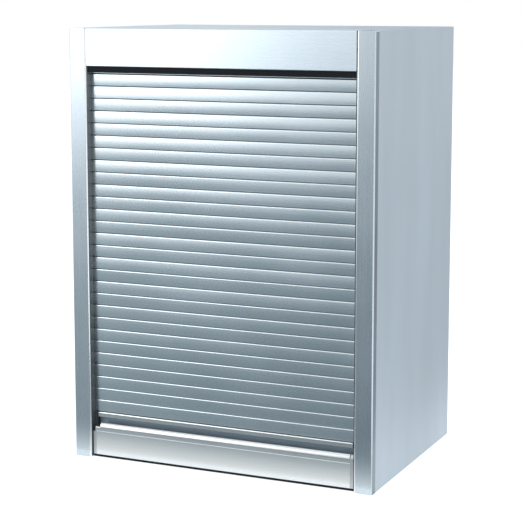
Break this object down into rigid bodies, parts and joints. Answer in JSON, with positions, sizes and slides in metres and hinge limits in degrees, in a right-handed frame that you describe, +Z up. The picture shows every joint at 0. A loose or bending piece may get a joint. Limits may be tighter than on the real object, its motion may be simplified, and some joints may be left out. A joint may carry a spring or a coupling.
{
  "type": "roller shutter cabinet",
  "caption": "Upright silver cabinet closed by a horizontal-slat roller shutter in side guide rails, with a head fascia and a bottom handle bar; the shutter slides up into the head.",
  "frame": {"origin": "middle of the base, on the surface that the cabinet stands on", "axes": "+Z up, shutter front towards -Y, +X to the right of someone who faces the shutter"},
  "size_m": [0.52, 0.375, 0.7],
  "materials": {
    "silver_board": "silver laminate on particle board",
    "beech_dowel": "raw fluted beech",
    "rail_aluminium": "fine brushed, anodised",
    "bar_aluminium": "fine brushed, anodised",
    "slat_aluminium": "satin anodised",
    "dark_plastic": "matt",
    "grey_plastic": "fine grain",
    "black_rubber": "matt",
    "zinc_steel": "bright zinc",
    "strap_webbing": "woven tape"
  },
  "bodies": {
    "cabinet": {"side_panel_left": "silver_board", "side_panel_right": "silver_board", "top_panel": "silver_board", "bottom_panel": "silver_board", "back_panel": "silver_board", "hanging_rail": "silver_board", "carcass_dowels": "beech_dowel", "guide_rail_left": "rail_aluminium", "guide_rail_right": "rail_aluminium", "rail_caps": "rail_aluminium", "fascia": "rail_aluminium", "guide_liner_left": "dark_plastic", "guide_liner_right": "dark_plastic", "rail_stops": "dark_plastic", "head_seal": "black_rubber", "rail_screws": "zinc_steel", "fascia_screws": "zinc_steel", "bracket_screws": "zinc_steel", "barrel_axle": "zinc_steel", "barrel_spring": "zinc_steel", "barrel_bracket_left": "zinc_steel", "barrel_bracket_right": "zinc_steel", "hanger_straps": "strap_webbing"},
    "handle_bar": {"handle_bar": "bar_aluminium", "handle_brow": "bar_aluminium", "handle_cap_left": "grey_plastic", "handle_cap_right": "grey_plastic", "bottom_seal": "black_rubber"},
    "barrel": {"barrel_tube": "zinc_steel", "barrel_plug_left": "dark_plastic", "barrel_plug_right": "dark_plastic"},
    "slat_00": {"slat_00": "slat_aluminium"},
    "slat_01": {"slat_01": "slat_aluminium"},
    "slat_02": {"slat_02": "slat_aluminium"},
    "slat_03": {"slat_03": "slat_aluminium"},
    "slat_04": {"slat_04": "slat_aluminium"},
    "slat_05": {"slat_05": "slat_aluminium"},
    "slat_06": {"slat_06": "slat_aluminium"},
    "slat_07": {"slat_07": "slat_aluminium"},
    "slat_08": {"slat_08": "slat_aluminium"},
    "slat_09": {"slat_09": "slat_aluminium"},
    "slat_10": {"slat_10": "slat_aluminium"},
    "slat_11": {"slat_11": "slat_aluminium"},
    "slat_12": {"slat_12": "slat_aluminium"},
    "slat_13": {"slat_13": "slat_aluminium"},
    "slat_14": {"slat_14": "slat_aluminium"},
    "slat_15": {"slat_15": "slat_aluminium"},
    "slat_16": {"slat_16": "slat_aluminium"},
    "slat_17": {"slat_17": "slat_aluminium"},
    "slat_18": {"slat_18": "slat_aluminium"},
    "slat_19": {"slat_19": "slat_aluminium"},
    "slat_20": {"slat_20": "slat_aluminium"},
    "slat_21": {"slat_21": "slat_aluminium"},
    "slat_22": {"slat_22": "slat_aluminium"},
    "slat_23": {"slat_23": "slat_aluminium"},
    "slat_24": {"slat_24": "slat_aluminium"},
    "slat_25": {"slat_25": "slat_aluminium"},
    "slat_26": {"slat_26": "slat_aluminium"},
    "slat_27": {"slat_27": "slat_aluminium"},
    "slat_28": {"slat_28": "slat_aluminium"}
  },
  "joints": [
    {"name": "shutter_lift", "type": "slide", "parent": "cabinet", "child": "handle_bar", "axis": [0, 0, 1], "range_m": [0, 0.5645], "deforming": ["hanger_straps"]},
    {"name": "slat_00_gather", "type": "slide", "parent": "cabinet", "child": "slat_00", "axis": [0, 0, 1], "range_m": [0, 0.012]},
    {"name": "slat_01_gather", "type": "slide", "parent": "cabinet", "child": "slat_01", "axis": [0, 0.0409, 0.9992], "range_m": [0, 0.03176]},
    {"name": "slat_02_gather", "type": "slide", "parent": "cabinet", "child": "slat_02", "axis": [0, 0.0505, 0.9987], "range_m": [0, 0.05153]},
    {"name": "slat_03_gather", "type": "slide", "parent": "cabinet", "child": "slat_03", "axis": [0, 0.0547, 0.9985], "range_m": [0, 0.0713]},
    {"name": "slat_04_gather", "type": "slide", "parent": "cabinet", "child": "slat_04", "axis": [0, 0.0571, 0.9984], "range_m": [0, 0.09108]},
    {"name": "slat_05_gather", "type": "slide", "parent": "cabinet", "child": "slat_05", "axis": [0, 0.0586, 0.9983], "range_m": [0, 0.11085]},
    {"name": "slat_06_gather", "type": "slide", "parent": "cabinet", "child": "slat_06", "axis": [0, 0.0597, 0.9982], "range_m": [0, 0.13063]},
    {"name": "slat_07_gather", "type": "slide", "parent": "cabinet", "child": "slat_07", "axis": [0, 0.0605, 0.9982], "range_m": [0, 0.1504]},
    {"name": "slat_08_gather", "type": "slide", "parent": "cabinet", "child": "slat_08", "axis": [0, 0.0611, 0.9981], "range_m": [0, 0.17018]},
    {"name": "slat_09_gather", "type": "slide", "parent": "cabinet", "child": "slat_09", "axis": [0, 0.0616, 0.9981], "range_m": [0, 0.18995]},
    {"name": "slat_10_gather", "type": "slide", "parent": "cabinet", "child": "slat_10", "axis": [0, 0.062, 0.9981], "range_m": [0, 0.20973]},
    {"name": "slat_11_gather", "type": "slide", "parent": "cabinet", "child": "slat_11", "axis": [0, 0.0623, 0.9981], "range_m": [0, 0.2295]},
    {"name": "slat_12_gather", "type": "slide", "parent": "cabinet", "child": "slat_12", "axis": [0, 0.0626, 0.998], "range_m": [0, 0.24928]},
    {"name": "slat_13_gather", "type": "slide", "parent": "cabinet", "child": "slat_13", "axis": [0, 0.0628, 0.998], "range_m": [0, 0.26905]},
    {"name": "slat_14_gather", "type": "slide", "parent": "cabinet", "child": "slat_14", "axis": [0, 0.063, 0.998], "range_m": [0, 0.28882]},
    {"name": "slat_15_gather", "type": "slide", "parent": "cabinet", "child": "slat_15", "axis": [0, 0.0632, 0.998], "range_m": [0, 0.3086]},
    {"name": "slat_16_gather", "type": "slide", "parent": "cabinet", "child": "slat_16", "axis": [0, 0.0633, 0.998], "range_m": [0, 0.32837]},
    {"name": "slat_17_gather", "type": "slide", "parent": "cabinet", "child": "slat_17", "axis": [0, 0.0635, 0.998], "range_m": [0, 0.34815]},
    {"name": "slat_18_gather", "type": "slide", "parent": "cabinet", "child": "slat_18", "axis": [0, 0.0636, 0.998], "range_m": [0, 0.36793]},
    {"name": "slat_19_gather", "type": "slide", "parent": "cabinet", "child": "slat_19", "axis": [0, 0.0637, 0.998], "range_m": [0, 0.3877]},
    {"name": "slat_20_gather", "type": "slide", "parent": "cabinet", "child": "slat_20", "axis": [0, 0.0638, 0.998], "range_m": [0, 0.40747]},
    {"name": "slat_21_gather", "type": "slide", "parent": "cabinet", "child": "slat_21", "axis": [0, 0.0639, 0.998], "range_m": [0, 0.42725]},
    {"name": "slat_22_gather", "type": "slide", "parent": "cabinet", "child": "slat_22", "axis": [0, 0.064, 0.998], "range_m": [0, 0.44702]},
    {"name": "slat_23_gather", "type": "slide", "parent": "cabinet", "child": "slat_23", "axis": [0, 0.0641, 0.9979], "range_m": [0, 0.4668]},
    {"name": "slat_24_gather", "type": "slide", "parent": "cabinet", "child": "slat_24", "axis": [0, 0.0641, 0.9979], "range_m": [0, 0.48657]},
    {"name": "slat_25_gather", "type": "slide", "parent": "cabinet", "child": "slat_25", "axis": [0, 0.0642, 0.9979], "range_m": [0, 0.50635]},
    {"name": "slat_26_gather", "type": "slide", "parent": "cabinet", "child": "slat_26", "axis": [0, 0.0642, 0.9979], "range_m": [0, 0.52612]},
    {"name": "slat_27_gather", "type": "slide", "parent": "cabinet", "child": "slat_27", "axis": [0, 0.0643, 0.9979], "range_m": [0, 0.5459]},
    {"name": "slat_28_gather", "type": "slide", "parent": "cabinet", "child": "slat_28", "axis": [0, 0.0643, 0.9979], "range_m": [0, 0.56567]},
    {"name": "barrel_turn", "type": "hinge", "parent": "cabinet", "child": "barrel", "pos_m": [0, -0.10616, 0.6595], "axis": [-1, 0, 0], "range_deg": [0, 1617.3]}
  ],
  "couplings": [
    {"joint": "slat_00_gather", "follows": "shutter_lift", "ratio": 0.021258},
    {"joint": "slat_01_gather", "follows": "shutter_lift", "ratio": 0.05626},
    {"joint": "slat_02_gather", "follows": "shutter_lift", "ratio": 0.091284},
    {"joint": "slat_03_gather", "follows": "shutter_lift", "ratio": 0.12631},
    {"joint": "slat_04_gather", "follows": "shutter_lift", "ratio": 0.16134},
    {"joint": "slat_05_gather", "follows": "shutter_lift", "ratio": 0.19637},
    {"joint": "slat_06_gather", "follows": "shutter_lift", "ratio": 0.2314},
    {"joint": "slat_07_gather", "follows": "shutter_lift", "ratio": 0.26643},
    {"joint": "slat_08_gather", "follows": "shutter_lift", "ratio": 0.30146},
    {"joint": "slat_09_gather", "follows": "shutter_lift", "ratio": 0.33649},
    {"joint": "slat_10_gather", "follows": "shutter_lift", "ratio": 0.37152},
    {"joint": "slat_11_gather", "follows": "shutter_lift", "ratio": 0.40655},
    {"joint": "slat_12_gather", "follows": "shutter_lift", "ratio": 0.44158},
    {"joint": "slat_13_gather", "follows": "shutter_lift", "ratio": 0.47661},
    {"joint": "slat_14_gather", "follows": "shutter_lift", "ratio": 0.51165},
    {"joint": "slat_15_gather", "follows": "shutter_lift", "ratio": 0.54668},
    {"joint": "slat_16_gather", "follows": "shutter_lift", "ratio": 0.58171},
    {"joint": "slat_17_gather", "follows": "shutter_lift", "ratio": 0.61674},
    {"joint": "slat_18_gather", "follows": "shutter_lift", "ratio": 0.65177},
    {"joint": "slat_19_gather", "follows": "shutter_lift", "ratio": 0.6868},
    {"joint": "slat_20_gather", "follows": "shutter_lift", "ratio": 0.72183},
    {"joint": "slat_21_gather", "follows": "shutter_lift", "ratio": 0.75686},
    {"joint": "slat_22_gather", "follows": "shutter_lift", "ratio": 0.79189},
    {"joint": "slat_23_gather", "follows": "shutter_lift", "ratio": 0.82692},
    {"joint": "slat_24_gather", "follows": "shutter_lift", "ratio": 0.86195},
    {"joint": "slat_25_gather", "follows": "shutter_lift", "ratio": 0.89698},
    {"joint": "slat_26_gather", "follows": "shutter_lift", "ratio": 0.93202},
    {"joint": "slat_27_gather", "follows": "shutter_lift", "ratio": 0.96705},
    {"joint": "slat_28_gather", "follows": "shutter_lift", "ratio": 1.0021},
    {"joint": "barrel_turn", "follows": "shutter_lift", "rad_per_m": 50}
  ]
}
